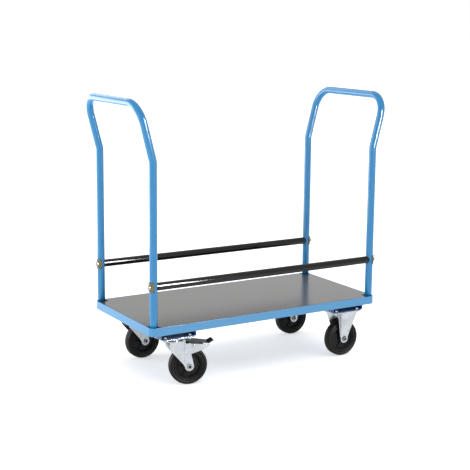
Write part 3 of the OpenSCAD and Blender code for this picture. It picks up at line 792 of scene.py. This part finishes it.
swivelHead = {
    "cup": 31 * mm, "sheet": 2.4 * mm, "cupSteps": 72,
    "cupRound": 4 * mm, "roofEdge": 5 * mm, "roundFrom": 76,  # the outer corner, where it starts in degrees
    "roof": 3.5 * mm, "roofBend": 1.4 * mm, "kingHex": 10.5 * mm, "kingBolt": 6 * mm,
    "kingHead": 8.2 * mm, "kingChamfer": 0.9 * mm, "kingTip": 0.5 * mm, "kingSteps": 32,
}


def pressCup(values, code, standing):  # a pressed cup with a rolled lip, over the ring of balls
    low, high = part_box(code + "_race_cup")
    r, t, corner, king = values["cup"], values["sheet"], values["cupRound"], values["kingBolt"]
    under = high.z - values["roof"]
    outside = [(king, high.z), (r - values["roofEdge"], high.z)]
    outside += arc((r - corner, high.z - corner), corner, values["roundFrom"], 0, 6)
    lip = arc((r - t / 2, low.z + t / 2), t / 2, 0, -180, 6)
    inside = [(r - t, high.z - corner), (r - t - values["roofBend"], under), (king, under)]
    bm = bmesh.new()
    lathe(bm, outside + lip + inside, values["cupSteps"], standing, closed=True)
    finishPiece(bm, code + "RaceCup", [code + "_race_cup"], creaseAngle=40)


def fitKingBolt(values, code, standing):
    low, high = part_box(code + "_king_bolt")
    r, tip = values["kingBolt"], values["kingTip"]
    bm = bmesh.new()
    hexBlock(bm, values["kingHex"], values["kingHead"], standing @ Matrix.Translation((0, 0, low.z)),
             values["kingChamfer"])
    lathe(bm, [(0, low.z), (r, low.z), (r, high.z - tip), (r - tip, high.z), (0, high.z)],
          values["kingSteps"], standing)
    finishPiece(bm, code + "KingBolt", [code + "_king_bolt"], creaseAngle=25)


pressing = {
    "edge": 0.6 * mm,
    "beadX": 28 * mm, "beadFoot": 78 * mm, "beadHead": 146 * mm,  # from the king bolt's line, heights
    "beadWidth": 9 * mm, "beadProud": 2.6 * mm, "beadSection": (-1, -0.7, -0.35, 0, 0.35, 0.7, 1),
    # the raised ring round the axle: mm from its middle, mm above the leg
    "seat": [(4.2, -0.4), (13.2, -0.4), (12.4, 0.6), (10.6, 0.8), (4.2, 0.8)], "seatSteps": 48,
}


def raiseSeat(values, bm, side, acrossAxle):
    outward = acrossAxle @ Matrix.Translation((0, 0, side * legOut))
    outward = outward @ Matrix.Rotation(0 if side > 0 else math.pi, 4, "X")
    lathe(bm, shifted(values["seat"], 0, 0), values["seatSteps"], outward, closed=True)


def dressFork(values, code, standing, acrossAxle):
    # the pressed fork, with a stiffening bead down each bend and a raised seat round the axle
    roundedCopy(code + "_fork", code + "Fork", values["edge"])
    bm = bmesh.new()
    for side in (-1, 1):
        foot = Vector((values["beadX"], side * legOut, values["beadFoot"]))
        head = Vector((values["beadX"], side * legOut, values["beadHead"]))
        ridge(bm, foot, head, Vector((0, side, 0)), values["beadWidth"], values["beadProud"],
              values["beadSection"], standing)
        raiseSeat(values, bm, side, acrossAxle)
    finishPiece(bm, code + "ForkBeads", [], body=bodyOf[code + "_fork"], slotName="zinc_sheet")


def pressBracket(values, code, acrossAxle):
    roundedCopy(code + "_bracket", code + "Bracket", values["edge"])
    bm = bmesh.new()
    for side in (-1, 1):
        raiseSeat(values, bm, side, acrossAxle)
    finishPiece(bm, code + "BracketSeats", [], body="platform", slotName="zinc_sheet")


brake = {
    "leverEdge": 0.5 * mm, "shoeEdge": 0.8 * mm,
    "pinRadius": 3 * mm, "rivet": 4.5 * mm, "rivetSide": 1.4 * mm, "pinEnd": 25 * mm,
    "rivetRound": 1.9 * mm, "roundAt": (2.6 * mm, 23.1 * mm),  # the rolled edge of the rivet's head
    "steps": 28,
}


def fitBrake(values, code, standing):
    roundedCopy(code + "_lever", code + "Lever", values["leverEdge"])
    roundedCopy(code + "_shoe", code + "Shoe", values["shoeEdge"])
    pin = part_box(code + "_brake_pin")
    pinZ = (pin[0].z + pin[1].z) / 2
    pinX = (standing.inverted() @ Vector(joints[code + "_brake_pedal"]["pos_m"])).x
    across = standing @ Matrix.Translation((pinX, 0, pinZ)) @ Matrix.Rotation(math.pi / 2, 4, "X")
    shank, rivet = values["pinRadius"], values["rivet"]
    upper = [(shank, 0), (shank, legOut), (rivet, legOut), (rivet, legOut + values["rivetSide"])]
    upper += arc(values["roundAt"], values["rivetRound"], 10, 90, 4) + [(0, values["pinEnd"])]
    bm = bmesh.new()
    lathe(bm, [(r, -z) for r, z in reversed(upper)] + upper, values["steps"], across)
    finishPiece(bm, code + "BrakePin", [code + "_brake_pin"], creaseAngle=40)


pedal = {
    "leverEnd": (115.5 * mm, 0, 133.5 * mm), "overlap": 2 * mm, "tilt": 27,
    "length": 18 * mm, "width": 24 * mm, "thick": 8 * mm, "top": 4.5 * mm,  # its top above the lever's middle
    "endWall": 1.2 * mm, "ribs": 5, "ribHeight": 1.4 * mm, "ribSunk": 1 * mm,
    "ribShare": 0.55, "ribInset": 2 * mm, "ribEdge": 0.4 * mm,
}


def mouldPad(values, code, standing):  # a rubber shoe pushed over the lever's end, ribbed for grip
    length, width, ribHeight = values["length"], values["width"], values["ribHeight"]
    leverEnd = Vector(values["leverEnd"])
    place = standing @ Matrix.Translation(leverEnd - Vector((values["overlap"], 0, 0)))
    place = place @ Matrix.Rotation(math.radians(-values["tilt"]), 4, "Y")
    body = values["thick"] - ribHeight
    bm = bmesh.new()
    slab(bm, (length, width, body),
         place @ Matrix.Translation((length / 2, 0, values["top"] - ribHeight - body / 2)), values["endWall"])
    pitch = (length - 2 * values["endWall"]) / values["ribs"]
    ribZ = values["top"] - (ribHeight + values["ribSunk"]) / 2
    for i in range(values["ribs"]):
        along = values["endWall"] + (i + 0.5) * pitch
        slab(bm, (pitch * values["ribShare"], width - values["ribInset"], ribHeight + values["ribSunk"]),
             place @ Matrix.Translation((along, 0, ribZ)), values["ribEdge"])
    finishPiece(bm, code + "Pad", [code + "_pad"], creaseAngle=30)


for code in ("nl", "fl", "nr", "fr"):
    standing, acrossAxle = casterPlace(code)
    turnTyre(wheel, code, acrossAxle)
    mouldHub(wheel, code, acrossAxle)
    fitAxle(axle, code, acrossAxle)
    if code + "_fork" in nodes:
        roundedCopy(code + "_plate", code + "Plate", platform["plateEdge"])
        pressCup(swivelHead, code, standing)
        fitKingBolt(swivelHead, code, standing)
        dressFork(pressing, code, standing, acrossAxle)
        fitBrake(brake, code, standing)
        mouldPad(pedal, code, standing)
    else:
        pressBracket(pressing, code, acrossAxle)
    print("caster made:", code)

shineOn = bpy.data.collections.new("shineOn")  # what the gloss-only panels light: all but the deck
for piece in bpy.context.scene.objects:
    if piece.type == "MESH" and piece.name not in ("deckBoard", "deck_board", "floor"):
        shineOn.objects.link(piece)
for name, place, target, across, up, watts, onMatt in lightValues["softboxes"]:
    if not onMatt:
        bpy.data.objects[name].light_linking.receiver_collection = shineOn
